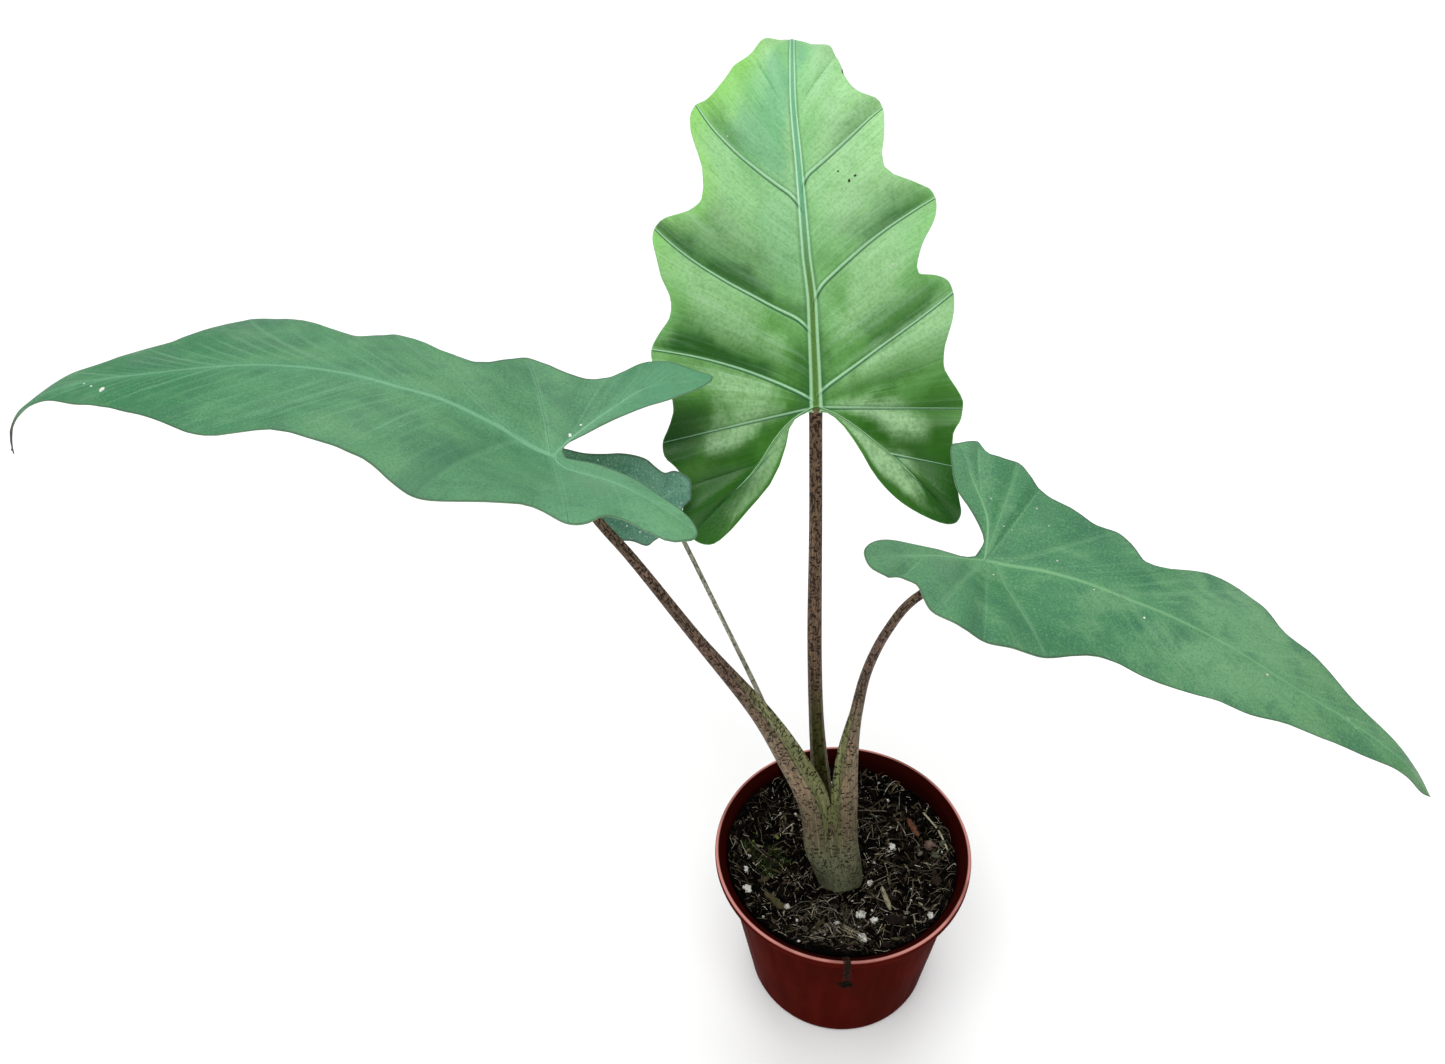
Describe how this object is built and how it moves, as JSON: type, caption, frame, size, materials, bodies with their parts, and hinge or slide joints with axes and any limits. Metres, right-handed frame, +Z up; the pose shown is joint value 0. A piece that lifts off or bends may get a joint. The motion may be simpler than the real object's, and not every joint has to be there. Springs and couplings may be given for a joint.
{
  "type": "potted alocasia plant",
  "caption": "Potted arrow-leaf houseplant with long wavy blades on slim stalks, in a tapered plastic nursery pot filled with soil.",
  "frame": {"origin": "centre of the pot's base, on the surface it stands on", "axes": "+Z up, +X towards the right-hand leaf, +Y towards the upright newest leaf's back"},
  "size_m": [0.4645, 0.277, 0.3982],
  "materials": {
    "pot_plastic": "semi-gloss red-brown plastic",
    "soil": "dark damp potting mix",
    "stalk": "satin plant skin, pinkish brown with dark dashes",
    "stalk_pale": "satin plant skin, pale grey-green",
    "leaf_young": "glossy bright green leaf",
    "leaf_mature": "satin blue-green leaf",
    "leaf_old": "matte dark blue-green leaf"
  },
  "bodies": {
    "root": {"pot": "pot_plastic", "soil": "soil", "stem_base": "stalk", "petiole_centre": "stalk", "petiole_left": "stalk", "petiole_right": "stalk", "petiole_back": "stalk_pale", "blade_centre": "leaf_young", "blade_left": "leaf_mature", "blade_right": "leaf_mature", "blade_back": "leaf_old"}
  },
  "joints": []
}
